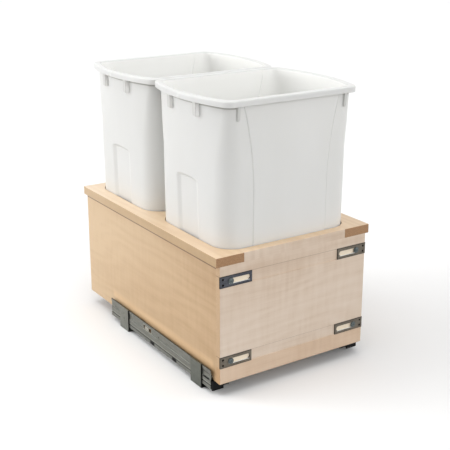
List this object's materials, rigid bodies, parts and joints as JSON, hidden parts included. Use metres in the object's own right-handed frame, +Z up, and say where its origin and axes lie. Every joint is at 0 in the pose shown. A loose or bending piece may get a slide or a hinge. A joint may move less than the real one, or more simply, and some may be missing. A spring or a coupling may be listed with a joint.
{
  "type": "pull-out waste cabinet",
  "caption": "Maple pull-out box for a kitchen base cabinet: a cut-out lid holds tall white bins, on floor-mounted full-extension runners, with slotted door brackets.",
  "frame": {"origin": "on the cabinet floor, in the middle of the unit's outline, shut", "axes": "+Z up, +Y into the cabinet, X across; the front panel faces -Y and the unit pulls out along -Y"},
  "size_m": [0.381, 0.5838, 0.5881],
  "materials": {
    "maple_side": "clear satin lacquer on maple",
    "maple_front": "clear satin lacquer on pale maple",
    "maple_lid": "clear satin lacquer on maple",
    "dowel_wood": "bare beech",
    "white_plastic": "moulded satin white",
    "bracket_steel": "zinc plated, dull",
    "screw_steel": "zinc plated",
    "zinc_steel": "zinc plated sheet",
    "roller_steel": "ground",
    "black_plastic": "moulded",
    "grey_plastic": "moulded",
    "damper_aluminium": "drawn tube"
  },
  "bodies": {
    "cabinet_side": {"runner_cabinet_member_left": "zinc_steel", "runner_cabinet_member_right": "zinc_steel", "floor_bracket_front_left": "zinc_steel", "floor_bracket_front_right": "zinc_steel", "floor_bracket_rear_left": "zinc_steel", "floor_bracket_rear_right": "zinc_steel", "bracket_rivets": "screw_steel", "glide_clips_left": "black_plastic", "glide_clips_right": "black_plastic", "closer_housing_left": "grey_plastic", "closer_housing_right": "grey_plastic", "damper_cylinder_left": "damper_aluminium", "damper_cylinder_right": "damper_aluminium", "closing_spring_left": "roller_steel", "closing_spring_right": "roller_steel"},
    "carriage": {"box_side_left": "maple_side", "box_side_right": "maple_side", "box_front_panel": "maple_front", "box_back_panel": "maple_side", "box_bottom_panel": "maple_side", "lid_stile_left": "maple_lid", "lid_stile_right": "maple_lid", "lid_rail_front": "maple_lid", "lid_rail_middle": "maple_lid", "lid_rail_back": "maple_lid", "lid_dowels": "dowel_wood", "corner_dowels": "dowel_wood", "bracket_washers": "screw_steel", "bracket_screws": "screw_steel", "bottom_screws": "screw_steel", "runner_drawer_member_left": "zinc_steel", "runner_drawer_member_right": "zinc_steel", "striker_left": "black_plastic", "striker_right": "black_plastic", "lock_body_left": "black_plastic", "lock_body_right": "black_plastic", "rear_hook_left": "zinc_steel", "rear_hook_right": "zinc_steel"},
    "front_bin": {"front_bin": "white_plastic"},
    "rear_bin": {"rear_bin": "white_plastic"},
    "middle_member_left": {"runner_middle_member_left": "zinc_steel"},
    "lower_cage_left": {"lower_cage_left": "grey_plastic", "lower_rollers_left": "roller_steel"},
    "upper_cage_left": {"upper_cage_left": "grey_plastic", "upper_rollers_left": "roller_steel"},
    "catch_left": {"closer_catch_left": "black_plastic", "damper_rod_left": "roller_steel"},
    "lock_lever_left": {"lock_lever_left": "black_plastic"},
    "door_bracket_upper_left": {"door_bracket_upper_left": "bracket_steel"},
    "door_bracket_lower_left": {"door_bracket_lower_left": "bracket_steel"},
    "middle_member_right": {"runner_middle_member_right": "zinc_steel"},
    "lower_cage_right": {"lower_cage_right": "grey_plastic", "lower_rollers_right": "roller_steel"},
    "upper_cage_right": {"upper_cage_right": "grey_plastic", "upper_rollers_right": "roller_steel"},
    "catch_right": {"closer_catch_right": "black_plastic", "damper_rod_right": "roller_steel"},
    "lock_lever_right": {"lock_lever_right": "black_plastic"},
    "door_bracket_upper_right": {"door_bracket_upper_right": "bracket_steel"},
    "door_bracket_lower_right": {"door_bracket_lower_right": "bracket_steel"}
  },
  "joints": [
    {"name": "carriage_slide", "type": "slide", "parent": "cabinet_side", "child": "carriage", "axis": [0, -1, 0], "range_m": [0, 0.45]},
    {"name": "front_bin_lift", "type": "slide", "parent": "carriage", "child": "front_bin", "axis": [0, 0, 1], "range_m": [0, 0.26]},
    {"name": "rear_bin_lift", "type": "slide", "parent": "carriage", "child": "rear_bin", "axis": [0, 0, 1], "range_m": [0, 0.26]},
    {"name": "middle_slide_left", "type": "slide", "parent": "cabinet_side", "child": "middle_member_left", "axis": [0, -1, 0], "range_m": [0, 0.225]},
    {"name": "lower_cage_slide_left", "type": "slide", "parent": "cabinet_side", "child": "lower_cage_left", "axis": [0, -1, 0], "range_m": [0, 0.1125]},
    {"name": "upper_cage_slide_left", "type": "slide", "parent": "cabinet_side", "child": "upper_cage_left", "axis": [0, -1, 0], "range_m": [0, 0.3375]},
    {"name": "catch_slide_left", "type": "slide", "parent": "cabinet_side", "child": "catch_left", "axis": [0, -1, 0], "range_m": [0, 0.045]},
    {"name": "middle_slide_right", "type": "slide", "parent": "cabinet_side", "child": "middle_member_right", "axis": [0, -1, 0], "range_m": [0, 0.225]},
    {"name": "lower_cage_slide_right", "type": "slide", "parent": "cabinet_side", "child": "lower_cage_right", "axis": [0, -1, 0], "range_m": [0, 0.1125]},
    {"name": "upper_cage_slide_right", "type": "slide", "parent": "cabinet_side", "child": "upper_cage_right", "axis": [0, -1, 0], "range_m": [0, 0.3375]},
    {"name": "catch_slide_right", "type": "slide", "parent": "cabinet_side", "child": "catch_right", "axis": [0, -1, 0], "range_m": [0, 0.045]},
    {"name": "bracket_slide_upper_left", "type": "slide", "parent": "carriage", "child": "door_bracket_upper_left", "axis": [-1, 0, 0], "range_m": [0, 0.04]},
    {"name": "bracket_slide_lower_left", "type": "slide", "parent": "carriage", "child": "door_bracket_lower_left", "axis": [-1, 0, 0], "range_m": [0, 0.04]},
    {"name": "lock_lever_left", "type": "hinge", "parent": "carriage", "child": "lock_lever_left", "pos_m": [-0.1205, -0.25715, 0.035], "axis": [0, 0, -1], "range_deg": [0, 15], "stiffness_Nm_per_rad": 0.02},
    {"name": "bracket_slide_upper_right", "type": "slide", "parent": "carriage", "child": "door_bracket_upper_right", "axis": [1, 0, 0], "range_m": [0, 0.04]},
    {"name": "bracket_slide_lower_right", "type": "slide", "parent": "carriage", "child": "door_bracket_lower_right", "axis": [1, 0, 0], "range_m": [0, 0.04]},
    {"name": "lock_lever_right", "type": "hinge", "parent": "carriage", "child": "lock_lever_right", "pos_m": [0.1205, -0.25715, 0.035], "axis": [0, 0, 1], "range_deg": [0, 15], "stiffness_Nm_per_rad": 0.02}
  ],
  "couplings": [
    {"joint": "middle_slide_left", "follows": "carriage_slide", "ratio": 0.5},
    {"joint": "lower_cage_slide_left", "follows": "carriage_slide", "ratio": 0.25},
    {"joint": "upper_cage_slide_left", "follows": "carriage_slide", "ratio": 0.75},
    {"joint": "catch_slide_left", "follows": "carriage_slide", "ratio": 0.1},
    {"joint": "middle_slide_right", "follows": "carriage_slide", "ratio": 0.5},
    {"joint": "lower_cage_slide_right", "follows": "carriage_slide", "ratio": 0.25},
    {"joint": "upper_cage_slide_right", "follows": "carriage_slide", "ratio": 0.75},
    {"joint": "catch_slide_right", "follows": "carriage_slide", "ratio": 0.1}
  ]
}
